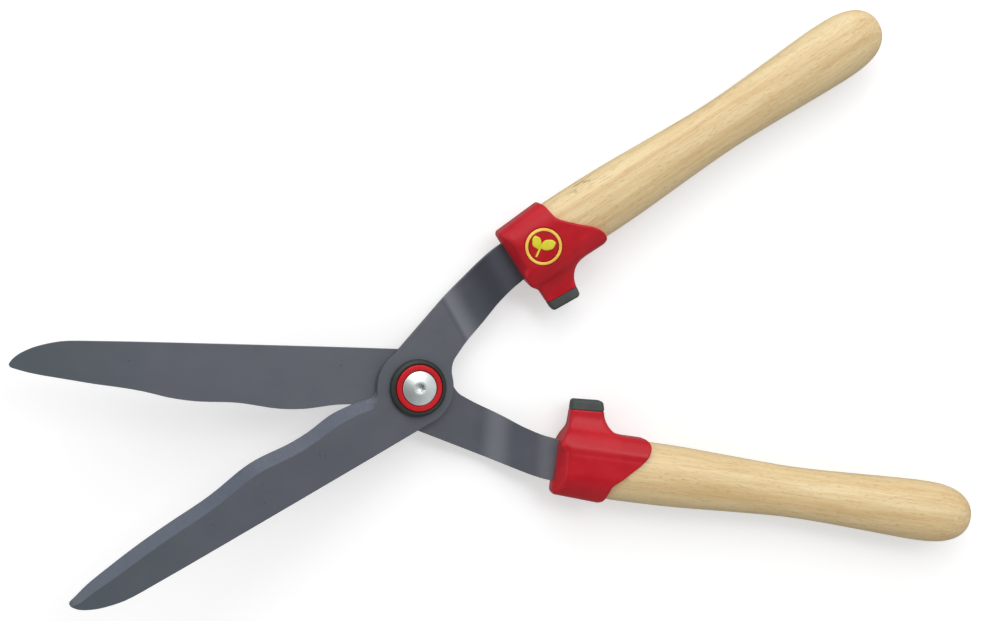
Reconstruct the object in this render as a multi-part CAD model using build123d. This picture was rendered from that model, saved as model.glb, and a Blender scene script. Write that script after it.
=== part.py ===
from build123d import *
import math
import os

os.makedirs("parts", exist_ok=True)

# Hedge shears: two flat steel blades with staggered wavy edges, crossed on one
# pivot bolt.  Each blade's tang is cranked upwards and runs into a moulded
# collar, which carries a beech handle and a rubber stop pad.
#
# Frame: origin on the pivot axis, midway between the two blades.  +X points to
# the handles along the line that halves the opening, +Z is up with the tool
# lying on its nut and both handles, bolt head uppermost.  Everything is built
# with the blades level, then tipped by REST_TILT.
#
# side = +1 is the front half: upper blade, handle towards +Y.
# side = -1 is the rear half: lower blade, handle towards -Y.
# In a half's own frame u runs along the blade from the pivot (tip at -u) and v
# across it, outwards at the handle; the rear half's v is negated.

# ---------------------------------------------------------------- pose
REST_HALF_OPEN = 17.3    # half the angle between the blades as modelled
CLOSED_OVERRUN = 0.2     # degrees each tip passes the closed line
REST_TILT = 15.1         # rise of the blades towards the tips

# ---------------------------------------------------------------- blades
BLADE_T = 4.0            # blade and tang thickness
BLADE_GAP = 0.04         # half the running gap between the two blades
BLADE_MID_Z = BLADE_GAP + BLADE_T / 2
BLADE_TOP_Z = BLADE_GAP + BLADE_T
EDGE_LAND = 0.45         # thickness left at the ground cutting edge
TIP_REACH = 230.0        # pivot axis to blade tip
TIP = (-TIP_REACH, -0.4)
BEVEL_TIP = (-TIP_REACH + 0.9, -1.6)   # tip of the outer face

BOSS_R = 23.5            # round boss about the pivot
BOSS_U, BOSS_V = -0.8, 0.9
CORNER_R = 15.0          # inner corner between boss and tang

# Blade outlines (u, v): the spine is common, the two cutting edges are staggered.
SPINE = [
    (-229.2, -2.1), (-227.0, -4.7), (-223.0, -7.7), (-218.5, -10.1), (-212.5, -12.3),
    (-205.0, -14.3), (-195.0, -15.4), (-185.0, -15.9), (-165.0, -16.8),
    (-125.0, -18.3), (-85.0, -19.8), (-45.0, -21.2), (-0.8, -22.55),
]
FRONT_EDGE = [
    (-229.2, 0.8), (-227.0, 1.5), (-220.0, 3.3), (-205.0, 5.7), (-195.0, 6.9),
    (-185.0, 7.9), (-175.0, 8.65), (-165.0, 9.2), (-155.0, 9.55), (-145.0, 9.8),
    (-135.0, 10.4), (-125.0, 11.7), (-115.0, 13.3), (-105.0, 13.95), (-95.0, 13.2),
    (-85.0, 11.9), (-75.0, 11.4), (-65.0, 11.9), (-55.0, 13.1), (-47.0, 12.95),
    (-41.0, 12.1), (-35.0, 11.2), (-29.5, 9.6), (-26.5, 9.2), (-23.6, 10.2), (-21.2, 12.0),
]
REAR_EDGE = [
    (-229.2, 1.0), (-227.0, 1.9), (-220.0, 3.5), (-205.0, 5.6), (-195.0, 6.75),
    (-185.0, 7.95), (-175.0, 8.8), (-165.0, 9.8), (-155.0, 11.3), (-145.0, 13.3),
    (-135.0, 14.5), (-125.0, 14.9), (-115.0, 14.6), (-105.0, 14.55), (-95.0, 15.5),
    (-85.0, 16.6), (-75.0, 16.8), (-65.0, 16.0), (-56.0, 14.4), (-47.0, 12.8),
    (-41.0, 12.3), (-35.0, 12.0), (-29.5, 11.8), (-26.5, 11.7), (-23.6, 11.8), (-21.2, 12.0),
]
# (u, bevel width)
BEVEL = [
    (-229.5, 1.9), (-227.0, 3.0), (-220.0, 4.9), (-205.0, 6.3), (-185.0, 6.9),
    (-165.0, 7.0), (-145.0, 7.0), (-125.0, 7.0), (-105.0, 7.1), (-85.0, 7.0),
    (-65.0, 7.0), (-50.0, 7.0), (-42.0, 6.7), (-35.0, 6.6), (-30.5, 6.2),
    (-27.2, 4.7), (-23.8, 2.6), (-21.2, 0.4),
]

# ---------------------------------------------------------------- tangs
HANDLE_SLOPE = 13.96     # rise of the handle axis over the blade plane
HANDLE_YAW = 4.01        # splay of the handle axis from the blade's centre line
GRIP_U, GRIP_V, GRIP_Z = 105.0, 40.0, 24.4   # reference point on the handle axis

TANG_START_U = -4.0
CRANK_1 = 44.0           # first bend line, distance from the pivot along the blade
CRANK_2 = 80.0           # second bend line
BEND_R = 28.0            # mid-plane bend radius
TONGUE_START_U = 92.0
TONGUE_LEN = 62.0        # tang length inside the handle
TONGUE_W = 25.0
TONGUE_END_W = 15.0
TONGUE_CUT_U, TONGUE_CUT_V = 4.0, 3.0   # cut corners at the tongue's end
STRIP_EXTRA = 5.0        # bent strip beyond the tongue length
STRIP_TRIM = 1.0         # cut off the strip's end by the plan outline

TANG_SLOPE = math.atan(
    math.tan(math.radians(HANDLE_SLOPE)) / math.cos(math.radians(HANDLE_YAW)))
CRANK_2_Z = GRIP_Z - (GRIP_U - CRANK_2) * math.tan(TANG_SLOPE)
STRIP_END_U = CRANK_2 + (TONGUE_LEN + STRIP_EXTRA) * math.cos(TANG_SLOPE)

# Tang edges in plan (u, v)
TANG_OUTER = [
    (-8.0, 22.4), (4.7, 26.5), (20.7, 31.65), (36.8, 36.8), (52.9, 42.05), (67.6, 46.95),
    (75.1, 49.1), (83.0, 50.5),
]
TANG_INNER = [
    (20.0, -1.2), (26.1, 1.95), (33.7, 5.6), (41.6, 8.9), (49.6, 12.1), (56.9, 15.4),
    (64.0, 18.9), (71.3, 21.8), (78.7, 24.1), (84.0, 25.1),
]

# ---------------------------------------------------------------- handles
HANDLE_FLAT = 0.80       # handle thickness over its width
HANDLE_END = 240.4
# (x, half width, half thickness)
WOOD_INNER = [(-14.0, 15.0, 10.0), (-8.0, 16.4, 11.6), (-1.0, 17.6, 13.2), (6.0, 18.4, 14.5)]
# (x, half width)
WOOD_OUTER = [
    (16.0, 18.9), (30.0, 18.9), (45.0, 18.75), (60.0, 18.35), (75.0, 17.6),
    (90.0, 16.85), (105.0, 16.15), (120.0, 15.6), (135.0, 15.6), (150.0, 16.05),
    (165.0, 16.7), (180.0, 17.4), (195.0, 18.1), (205.0, 18.45),
]
# (x, sideways shift of the section centre)
WOOD_BOW = [
    (0.0, 0.0), (30.0, -0.1), (60.0, -0.25), (90.0, -0.35), (120.0, -0.4), (150.0, -0.35),
    (180.0, -0.2), (210.0, 0.0),
]
# Rounded end: section scale is (1 - t ** NOSE_FULLNESS) ** NOSE_ROUNDING,
# t running from 0 at the last WOOD_OUTER station to 1 at HANDLE_END.
NOSE_STATIONS = (0.28, 0.5, 0.68, 0.81, 0.905, 0.962, 0.992)
NOSE_FULLNESS, NOSE_ROUNDING = 3.1, 0.46

# ---------------------------------------------------------------- collars
COLLAR_HALF_W = 23.6
COLLAR_HALF_T = 17.0
COLLAR_EDGE_R = 10.5
COLLAR_FRONT = -21.9
# Plan outline in the handle frame (x, y)
COLLAR_PLAN = [
    (COLLAR_FRONT, 9.0), (-21.2, 13.5), (-19.8, 17.0), (-17.0, 19.0), (-12.0, 19.6),
    (8.6, 20.6), (10.6, 19.8), (13.2, 17.0), (13.8, 12.0), (15.2, 7.0), (18.6, 2.4),
    (22.2, -1.2), (30.4, -9.1), (34.0, -13.4), (34.7, -16.6), (33.0, -20.0), (29.0, -21.0),
    (14.0, -21.6), (4.0, -22.8), (-15.5, -22.8), (-20.3, -16.5), (-21.5, -13.0),
    (COLLAR_FRONT, -9.0),
]
# Upper half of the side profile (x, z)
COLLAR_PROFILE = [
    (COLLAR_FRONT, 5.5), (-20.6, 11.0), (-17.6, 14.8), (-13.6, 16.7), (-11.0, COLLAR_HALF_T),
    (40.0, COLLAR_HALF_T),
]
# Sections of the arm for the stop pad (y, x centre, x size, z size, corner radius)
ARM_SECTIONS = [
    (-15.0, -3.3, 32.6, 27.0, 6.0), (-24.5, -4.9, 24.4, 21.0, 5.0),
    (-29.0, -6.5, 20.8, 17.0, 4.0), (-42.0, -7.1, 19.8, 15.2, 3.5),
]
PAD_T = 6.2
PAD_CLEARANCE = 0.05     # pad face to the closed line
PEG_X, PEG_Y = -7.3, -31.0
PEG_SIZE = (9.0, 11.0, 6.0)
PEG_OVERLAP = 1.0        # peg into the pad

PIN_R, PIN_LEN = 2.0, 25.0
PIN_X, PIN_Y = 1.0, 3.0

SCREW_X, SCREW_Y = -2.0, -9.5
SCREW_FACE_Z = -COLLAR_HALF_T + 0.25
SCREW_HEAD_R, SCREW_HEAD_H = 3.7, 2.3
SCREW_R = 1.75
SCREW_SHANK_START_Z = SCREW_FACE_Z + 2.2
SCREW_SHANK_END_Z = -5.2
SCREW_POINT_R, SCREW_POINT_H = 0.35, 1.4
SCREW_SLOT_LEN, SCREW_SLOT_W, SCREW_SLOT_H, SCREW_SLOT_Z = 4.2, 0.9, 1.4, 0.6
SCREW_MOUTH_R, SCREW_MOUTH_H = 3.9, 2.0

# ---------------------------------------------------------------- badge
BADGE_R = 10.9
BADGE_RING_W = 1.75
BADGE_X, BADGE_Y = -1.1, -0.8
BADGE_SUNK = 0.6
BADGE_PROUD = 0.35

# ---------------------------------------------------------------- pivot
RUN = 0.05               # running clearance
BOLT_R = 4.0             # M8 shank
BUSH_R = 6.5
BUSH_BORE_R = BOLT_R + RUN
BLADE_BORE_R = BUSH_R + RUN   # front blade runs on the bush
HEAD_R = 10.4
CAP_R, CAP_H = 14.0, 3.4
SEAL_R = 17.2
SEAL_FLOOR = 1.5         # seal ring under the cap ring
CAP_FLOOR = 1.5          # cap ring under the bolt head
SOCKET_AF, SOCKET_FLOOR = 5.0, 0.4
NUT_AF, NUT_H = 13.0, 6.5
WASHER_R, WASHER_T = 10.5, 1.6
SPRING_R, SPRING_H, SPRING_T = 8.0, 1.25, 0.8
BOLT_RECESS = 0.3        # bolt end inside the nut's outer face

SEAL_Z = BLADE_TOP_Z + RUN
CAP_Z = SEAL_Z + SEAL_FLOOR
HEAD_Z = CAP_Z + CAP_FLOOR
BLADE_BOTTOM_Z = -BLADE_TOP_Z
WASHER_Z = BLADE_BOTTOM_Z - WASHER_T
SPRING_Z = WASHER_Z - SPRING_H
NUT_Z = SPRING_Z - NUT_H


# ---------------------------------------------------------------- helpers
def interp(table, x):
    """Linear interpolation, held constant beyond the table's ends."""
    for (x0, y0), (x1, y1) in zip(table, table[1:]):
        if x0 <= x <= x1:
            return y0 + (y1 - y0) * (x - x0) / (x1 - x0)
    return table[0][1] if x < table[0][0] else table[-1][1]


def to_side(points, side):
    return [(u, side * v) for u, v in points]


def polygon(points):
    return make_face(Polyline(*points, close=True))


def turned(outline, base=0.0):
    """Solid of revolution about Z from (radius, height above base) points."""
    return revolve(Plane.XZ * polygon([(r, base + z) for r, z in outline]), Axis.Z)


def hex_prism(across_flats, height):
    return extrude(RegularPolygon(across_flats / 2, 6, major_radius=False), amount=height)


def half_location(side):
    return Rot(0, REST_TILT, 0) * Rot(0, 0, side * REST_HALF_OPEN)


def grip_location(side):
    """Handle frame: X out along the handle, Y level (outwards on the front half),
    Z up out of the handle's face.  The rear half's Y values change sign."""
    yaw = math.radians(side * HANDLE_YAW)
    rise = math.tan(math.radians(HANDLE_SLOPE))
    x_dir = Vector(math.cos(yaw), math.sin(yaw), rise).normalized()
    y_dir = Vector(-math.sin(yaw), math.cos(yaw), 0)
    origin = (GRIP_U, side * GRIP_V, GRIP_Z)
    return Plane(origin=origin, x_dir=x_dir, z_dir=x_dir.cross(y_dir)).location


def on_grip(side, shape):
    """Place a front-half shape in either handle frame, mirrored for the rear."""
    return grip_location(side) * (shape if side > 0 else mirror(shape, about=Plane.XZ))


def write(name, location, shape):
    """Place the largest solid of a shape and write it."""
    solid = location * max(shape.solids(), key=lambda s: s.volume)
    solid.label = name
    export_step(solid, f"parts/{name}.step")


# ---------------------------------------------------------------- steel halves
def blade_face(tip, edge, spine, z):
    back = Spline(*[(u, v, z) for u, v in reversed(spine)], (*tip, z))
    cut = Spline((*tip, z), *[(u, v, z) for u, v in edge])
    root = Line((*edge[-1], z), (*spine[-1], z))
    return Face(Wire([back, cut, root]))


def blade_body(side):
    """Blade with its flat inner face down and its bevel up; the rear one is turned over."""
    edge = FRONT_EDGE if side > 0 else REAR_EDGE
    bevel_line = [(u, interp(edge, u) - width) for u, width in BEVEL]
    slab = extrude(blade_face(TIP, edge, SPINE, BLADE_GAP), amount=EDGE_LAND, dir=(0, 0, 1))
    land = blade_face(TIP, edge, SPINE, BLADE_GAP + EDGE_LAND)
    top = blade_face(BEVEL_TIP, bevel_line, SPINE[1:], BLADE_TOP_Z)
    blade = slab + loft([land, top], ruled=True)
    return blade if side > 0 else Rot(180, 0, 0) * blade


def boss_body(side):
    boss = Pos(BOSS_U, BOSS_V, BLADE_GAP) * extrude(Circle(BOSS_R), amount=BLADE_T)
    return boss if side > 0 else Rot(180, 0, 0) * boss


def tang_strip(side):
    """Wide strip bent to the tang's side view."""
    z_mid = side * BLADE_MID_Z
    half_t = BLADE_T / 2
    z_end = CRANK_2_Z + (STRIP_END_U - CRANK_2) * math.tan(TANG_SLOPE)
    rise = math.atan2(CRANK_2_Z - z_mid, CRANK_2 - CRANK_1)

    def mitre(u, z, slope_in, slope_out, face):
        slope = (slope_in + slope_out) / 2
        reach = face * half_t / math.cos((slope_out - slope_in) / 2)
        return (u - reach * math.sin(slope), z + reach * math.cos(slope))

    def face_line(face):
        """Side-view line of the top (+1) or bottom (-1) face."""
        return [
            (TANG_START_U, z_mid + face * half_t),
            mitre(CRANK_1, z_mid, 0, rise, face),
            mitre(CRANK_2, CRANK_2_Z, rise, TANG_SLOPE, face),
            (STRIP_END_U - face * half_t * math.sin(TANG_SLOPE),
             z_end + face * half_t * math.cos(TANG_SLOPE)),
        ]

    top, bottom = face_line(1), face_line(-1)
    strip = extrude(Plane.XZ * polygon(top + bottom[::-1]), amount=70.0, both=True)
    # Both faces of a bend are concentric with its mid-plane radius.
    inside, outside = BEND_R - half_t, BEND_R + half_t
    bends = ((top[1], inside), (bottom[1], outside), (top[2], outside), (bottom[2], inside))
    for (u, z), radius in bends:
        edges = [e for e in strip.edges().filter_by(Axis.Y)
                 if abs(e.center().X - u) < 0.05 and abs(e.center().Z - z) < 0.05]
        strip = fillet(edges, radius)
    return strip


def tang_plan(side):
    def axis_v(u):
        return GRIP_V + (u - GRIP_U) * math.tan(math.radians(HANDLE_YAW))

    end_u = STRIP_END_U - STRIP_TRIM
    cut_u = end_u - TONGUE_CUT_U
    end_v = axis_v(end_u)
    half_end = TONGUE_END_W / 2
    start_outer = (TONGUE_START_U, axis_v(TONGUE_START_U) + TONGUE_W / 2 - 0.6)
    start_inner = (TONGUE_START_U, axis_v(TONGUE_START_U) - TONGUE_W / 2 + 0.4)
    outer = Spline(*to_side(TANG_OUTER + [start_outer], side))
    inner = Spline(*to_side([start_inner] + TANG_INNER[::-1], side))
    tongue = Polyline(*to_side([
        start_outer,
        (cut_u, end_v + half_end),
        (end_u, end_v + half_end - TONGUE_CUT_V),
        (end_u, end_v - half_end + TONGUE_CUT_V),
        (cut_u, end_v - half_end),
        start_inner,
    ], side))
    root = Line(*to_side([TANG_INNER[0], TANG_OUTER[0]], side))
    return make_face([outer, tongue, inner, root])


def tang_body(side):
    prism = Pos(0, 0, -30) * extrude(tang_plan(side), amount=90.0, dir=(0, 0, 1))
    return prism & tang_strip(side)


def boss_corner(side):
    """Fill leaving a concave arc tangent to the boss and the tang's inner edge."""
    boss = Vector(BOSS_U, BOSS_V)
    start = Vector(*TANG_INNER[0])
    along = (Vector(*TANG_INNER[1]) - start).normalized()
    away = Vector(along.Y, -along.X)
    # The arc's centre lies CORNER_R off the tang edge and clear of the boss rim.
    offset = start + away * CORNER_R - boss
    b = offset.dot(along)
    c = offset.dot(offset) - (BOSS_R + CORNER_R) ** 2
    centre = boss + offset + along * (-b + math.sqrt(b * b - c))
    on_boss = boss + (centre - boss) * (BOSS_R / (BOSS_R + CORNER_R))
    on_tang = centre - away * CORNER_R
    middle = centre + (on_boss + on_tang - centre * 2).normalized() * CORNER_R

    arc = ThreePointArc(*to_side([(p.X, p.Y) for p in (on_boss, middle, on_tang)], side))
    back_u = on_boss.X - 4.0
    rest = Polyline(*to_side([
        (on_tang.X, on_tang.Y), (back_u, on_tang.Y + 2.0), (back_u, on_boss.Y),
        (on_boss.X, on_boss.Y),
    ], side))
    return extrude(make_face([arc, rest]), amount=BLADE_T / 2, dir=(0, 0, 1), both=True)


def tang_pin(side):
    """Cross pin through tongue and wood."""
    return grip_location(side) * (Pos(PIN_X, side * PIN_Y, 0) * Cylinder(PIN_R, PIN_LEN))


def half_steel(side):
    body = blade_body(side) + boss_body(side) + tang_body(side)
    body = body + Pos(0, 0, side * BLADE_MID_Z) * boss_corner(side)
    bore_r = BLADE_BORE_R if side > 0 else BUSH_R
    body = body - Pos(0, 0, -10) * extrude(Circle(bore_r), amount=20.0)
    return body - tang_pin(side)


# ---------------------------------------------------------------- grips
def wood_blank():
    sections = WOOD_INNER + [(x, a, a * HANDLE_FLAT) for x, a in WOOD_OUTER]
    nose_x, nose_a = WOOD_OUTER[-1]
    for t in NOSE_STATIONS:
        a = nose_a * (1 - t ** NOSE_FULLNESS) ** NOSE_ROUNDING
        sections.append((nose_x + t * (HANDLE_END - nose_x), a, a * HANDLE_FLAT))
    return loft([
        Plane(origin=(x, interp(WOOD_BOW, x), 0), x_dir=(0, 1, 0), z_dir=(1, 0, 0)) * Ellipse(a, b)
        for x, a, b in sections
    ])


def collar_blank():
    """Front collar before its cuts: plan, side profile and rounded section combined."""
    prism = Pos(0, 0, -30) * extrude(polygon(COLLAR_PLAN), amount=60, dir=(0, 0, 1))
    profile = COLLAR_PROFILE + [(x, -z) for x, z in reversed(COLLAR_PROFILE)]
    side_prism = extrude(Plane.XZ * polygon(profile), amount=40, both=True)
    section = Plane(origin=(-30, 0, 0), x_dir=(0, 1, 0), z_dir=(1, 0, 0)) * RectangleRounded(
        2 * COLLAR_HALF_W, 2 * COLLAR_HALF_T, COLLAR_EDGE_R)
    return prism & side_prism & extrude(section, amount=80, dir=(1, 0, 0))


def arm_blank():
    """Front arm, reaching towards -Y."""
    sections = [
        Plane(origin=(0, y, 0), x_dir=(1, 0, 0), z_dir=(0, -1, 0))
        * (Pos(x, 0) * RectangleRounded(width, height, radius))
        for y, x, width, height, radius in ARM_SECTIONS
    ]
    return loft(sections[:3]) + loft(sections[2:])


def beyond_pad_face(side, back, size=200.0):
    """Box filling the space beyond the stop pad's face, set back from it by back.
    With the tool closed both faces lie along the line between the halves."""
    overrun = math.radians(CLOSED_OVERRUN)
    normal = Vector(math.sin(overrun), -side * math.cos(overrun), 0)
    plane = Plane(origin=tuple(normal * (-PAD_CLEARANCE - back)), z_dir=tuple(normal))
    return plane.location * (Pos(0, 0, size / 2) * Box(2 * size, 2 * size, size))


def buffer_pad(side, arm):
    """Outer slice of the arm, with a square peg back into it."""
    pad = (arm & beyond_pad_face(side, PAD_T)) - beyond_pad_face(side, 0.0)
    peg = on_grip(side, Pos(PEG_X, PEG_Y, 0) * Box(*PEG_SIZE))
    return pad + (peg - beyond_pad_face(side, PAD_T - PEG_OVERLAP))


def collar_screw(side):
    """Countersunk screw from the underside of the collar, and its hole."""
    head = Pos(0, 0, SCREW_FACE_Z + SCREW_HEAD_H / 2) * Cone(SCREW_HEAD_R, SCREW_R, SCREW_HEAD_H)
    shank = Pos(0, 0, (SCREW_SHANK_START_Z + SCREW_SHANK_END_Z) / 2) * Cylinder(
        SCREW_R, SCREW_SHANK_END_Z - SCREW_SHANK_START_Z)
    point = Pos(0, 0, SCREW_SHANK_END_Z + SCREW_POINT_H / 2) * Cone(
        SCREW_R, SCREW_POINT_R, SCREW_POINT_H)
    screw = head + shank + point
    cross = Pos(0, 0, SCREW_FACE_Z + SCREW_SLOT_Z) * (
        Box(SCREW_SLOT_LEN, SCREW_SLOT_W, SCREW_SLOT_H)
        + Box(SCREW_SLOT_W, SCREW_SLOT_LEN, SCREW_SLOT_H))
    mouth = Pos(0, 0, SCREW_FACE_Z - SCREW_MOUTH_H / 2) * Cylinder(SCREW_MOUTH_R, SCREW_MOUTH_H)
    hole = screw + mouth
    spot = Pos(SCREW_X, side * SCREW_Y, 0)
    location = grip_location(side)
    return location * (spot * (screw - cross)), location * (spot * hole)


def grip_parts(side, steel):
    wood = on_grip(side, wood_blank())
    body = on_grip(side, collar_blank())
    arm = on_grip(side, arm_blank())
    pad = buffer_pad(side, arm)
    pin = tang_pin(side)
    screw, screw_hole = collar_screw(side)
    collar = body + (arm - beyond_pad_face(side, PAD_T))
    collar = collar - wood - steel - pad
    collar = collar - screw_hole
    collar = collar - pin
    wood = wood - steel
    wood = wood - screw_hole - pin
    return dict(collar=collar, handle=wood, buffer=pad, tang_pin=pin, collar_screw=screw)


# ---------------------------------------------------------------- badge
def badge():
    """Ring and two-leaf sprig let into the upper face of the front collar."""
    height = BADGE_SUNK + BADGE_PROUD
    spot = Pos(BADGE_X, BADGE_Y, COLLAR_HALF_T - BADGE_SUNK)
    ring = spot * extrude(Circle(BADGE_R) - Circle(BADGE_R - BADGE_RING_W), amount=height)
    leaf = make_face([
        Spline((0, 0), (3.6, 3.4), (8.2, 2.6), (10.0, 0.4)),
        Spline((10.0, 0.4), (7.4, -2.4), (3.2, -2.3), (0, 0)),
    ])
    large_leaf = Pos(-1.8, -1.6) * Rot(0, 0, 38) * leaf
    small_leaf = Pos(-1.6, -2.6) * Rot(0, 0, 128) * scale(leaf, 0.88)
    stem = Pos(-1.7, -4.25) * Rectangle(1.3, 6.1)
    sprig = spot * Rot(0, 0, -55) * extrude(large_leaf + small_leaf + stem, amount=height)
    location = grip_location(1)
    return location * ring, location * sprig


# ---------------------------------------------------------------- pivot parts
def seal_ring():
    return turned([
        (BUSH_R + 0.1, 0), (SEAL_R - 0.5, 0), (SEAL_R, 0.5), (SEAL_R, 1.7),
        (SEAL_R - 0.5, 2.9), (SEAL_R - 1.6, 3.9), (CAP_R + 0.9, 4.35),
        (CAP_R, 4.35), (CAP_R, SEAL_FLOOR), (BUSH_R + 0.1, SEAL_FLOOR),
    ], SEAL_Z)


def cap_ring():
    bore_r, well_r, floor = BOLT_R + 0.15, HEAD_R + 0.05, CAP_FLOOR - 0.03
    return turned([
        (bore_r, 0), (CAP_R, 0), (CAP_R, CAP_H - 0.6), (CAP_R - 0.6, CAP_H),
        (HEAD_R + 0.5, CAP_H), (well_r, CAP_H - 0.4), (well_r, floor), (bore_r, floor),
    ], CAP_Z)


def pivot_bolt():
    dome = turned([
        (0, 0), (HEAD_R, 0), (HEAD_R, 1.9), (HEAD_R - 0.35, 2.35), (HEAD_R * 0.75, 2.95),
        (HEAD_R * 0.5, 3.3), (HEAD_R * 0.25, 3.5), (0, 3.56),
    ], HEAD_Z)
    socket = Pos(0, 0, HEAD_Z + SOCKET_FLOOR) * hex_prism(SOCKET_AF, 6)
    end = NUT_Z + BOLT_RECESS
    shank = Pos(0, 0, end) * extrude(Circle(BOLT_R), amount=HEAD_Z - end)
    # Conical cutter that only touches the rim of the shank's end.
    tail = Pos(0, 0, end) * (
        Cylinder(BOLT_R + 1, 1.4) - Cone(BOLT_R - 0.7, BOLT_R + 0.7, 1.4))
    return dome + shank - socket - tail


def pivot_bush():
    return turned([
        (BUSH_BORE_R, BLADE_BOTTOM_Z), (BUSH_R, BLADE_BOTTOM_Z), (BUSH_R, CAP_Z),
        (BUSH_BORE_R, CAP_Z),
    ])


def rear_washer():
    bore_r = BOLT_R + 0.3
    return turned([
        (bore_r, WASHER_T), (WASHER_R, WASHER_T), (WASHER_R, 0.3), (WASHER_R - 0.3, 0),
        (bore_r, 0),
    ], WASHER_Z)


def disc_spring():
    bore_r = BOLT_R + 0.2
    return turned([
        (bore_r, 0), (bore_r, SPRING_T), (SPRING_R, SPRING_H), (SPRING_R, SPRING_H - SPRING_T),
    ], SPRING_Z)


def lock_nut():
    hexagon = Pos(0, 0, NUT_Z) * hex_prism(NUT_AF, NUT_H)
    envelope = turned([
        (0, NUT_H), (7.1, NUT_H), (7.6, NUT_H - 0.5), (7.6, 2.0), (6.2, 0), (0, 0),
    ], NUT_Z)
    bore = Pos(0, 0, NUT_Z + NUT_H / 2) * Cylinder(BOLT_R + RUN, NUT_H + 2)
    return (hexagon & envelope) - bore


# ---------------------------------------------------------------- build
def main():
    ring, sprig = badge()
    for side, blade_name, grip_name in ((1, "front", "upper"), (-1, "rear", "lower")):
        location = half_location(side)
        steel = half_steel(side)
        write(f"{blade_name}_blade", location, steel)
        parts = grip_parts(side, steel)
        if side > 0:
            parts["collar"] = parts["collar"] - ring - sprig
        for name, shape in parts.items():
            write(f"{grip_name}_{name}", location, shape)
    write("badge_ring", half_location(1), ring)
    write("badge_sprig", half_location(1), sprig)

    for build in (seal_ring, cap_ring, pivot_bolt, pivot_bush, rear_washer, disc_spring, lock_nut):
        write(build.__name__, Rot(0, REST_TILT, 0), build())


main()
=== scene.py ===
"""Two-handed shears: two coated steel halves on one bolt, red collars, beech handles.

The bolt crosses the origin and its axis leans from +Z towards +X. The blades reach towards -X
and the handles towards +X, with the upper (front) handle at +Y and the lower (rear) one at -Y.
Pieces are sized in millimetres and placed in metres.

Frames used below:
  half   the pivot frame turned about the bolt to one half's opening angle
  grip   set in a half: x along the handle, y away from the other handle, z near the bolt axis.
         Lower pieces are designed like the upper ones and mirrored in y.
"""

import math
from types import SimpleNamespace

import bmesh
import bpy
import numpy as np
from mathutils import Matrix, Vector


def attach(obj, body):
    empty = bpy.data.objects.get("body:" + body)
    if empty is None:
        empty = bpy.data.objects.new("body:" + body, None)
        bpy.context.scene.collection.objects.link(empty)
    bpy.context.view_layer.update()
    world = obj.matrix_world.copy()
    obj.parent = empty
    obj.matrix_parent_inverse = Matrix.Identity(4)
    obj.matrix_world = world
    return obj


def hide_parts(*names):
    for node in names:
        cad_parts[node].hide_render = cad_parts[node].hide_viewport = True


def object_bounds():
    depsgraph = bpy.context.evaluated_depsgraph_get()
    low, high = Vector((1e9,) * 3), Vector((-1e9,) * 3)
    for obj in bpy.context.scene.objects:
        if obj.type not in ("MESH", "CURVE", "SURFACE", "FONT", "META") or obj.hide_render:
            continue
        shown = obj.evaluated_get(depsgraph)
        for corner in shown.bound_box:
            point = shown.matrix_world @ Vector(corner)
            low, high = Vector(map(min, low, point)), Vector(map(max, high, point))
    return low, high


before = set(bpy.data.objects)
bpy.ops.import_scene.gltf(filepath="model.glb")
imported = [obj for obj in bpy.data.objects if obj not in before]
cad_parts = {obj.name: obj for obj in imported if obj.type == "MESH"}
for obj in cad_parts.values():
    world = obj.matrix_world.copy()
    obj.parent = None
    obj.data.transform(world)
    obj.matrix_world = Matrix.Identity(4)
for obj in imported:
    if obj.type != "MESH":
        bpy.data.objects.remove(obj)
cad_box = [list(v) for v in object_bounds()]

MM = 0.001
UPPER, LOWER = 1, -1
SIDES = ((UPPER, "upper", "front_half"), (LOWER, "lower", "rear_half"))

TILT = math.radians(15.1)  # lean of the bolt axis
HALF_OPEN = math.radians(17.3)  # turn of each half about the bolt
GRIP_SLOPE = math.radians(13.96)  # rise of a handle out of its half
GRIP_YAW = math.radians(4.01)  # outward turn of a handle in its half
GRIP_ORIGIN = (105.0, 40.0, 24.4)  # mm, in the half's frame

BADGE_X, BADGE_Y = -1.45, -0.6  # mm, centre of the round badge in the upper grip frame

# ------------------------------------------------------------------ frames

PIVOT = Matrix.Rotation(TILT, 4, "Y")
AXIS = (PIVOT @ Vector((0, 0, 1))).normalized()


def half_matrix(side):
    return PIVOT @ Matrix.Rotation(side * HALF_OPEN, 4, "Z")


def axes_matrix(x, y, z, origin):
    matrix = Matrix.Identity(4)
    for i in range(3):
        matrix[i] = (x[i], y[i], z[i], origin[i])
    return matrix


def grip_axes(side):
    """Origin (mm) and unit axes of the grip frame, in the half's frame."""
    yaw = side * GRIP_YAW
    x = Vector((math.cos(yaw), math.sin(yaw), math.tan(GRIP_SLOPE))).normalized()
    y = Vector((-math.sin(yaw), math.cos(yaw), 0))
    along, out, height = GRIP_ORIGIN
    return Vector((along, side * out, height)), x, y, x.cross(y)


def grip_matrix(side):
    origin, x, y, z = grip_axes(side)
    return half_matrix(side) @ axes_matrix(x, y, z, [v * MM for v in origin])


# ------------------------------------------------------------- mesh helpers


def add_mesh(name, verts, faces, matrix=None, smooth=True):
    mesh = bpy.data.meshes.new(name)
    mesh.from_pydata([tuple(v) for v in verts], [], [tuple(f) for f in faces])
    mesh.validate()
    mesh.update()
    if smooth:
        mesh.polygons.foreach_set("use_smooth", [True] * len(mesh.polygons))
    ob = bpy.data.objects.new(name, mesh)
    bpy.context.scene.collection.objects.link(ob)
    if matrix is not None:
        ob.matrix_world = matrix
    return ob


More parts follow.
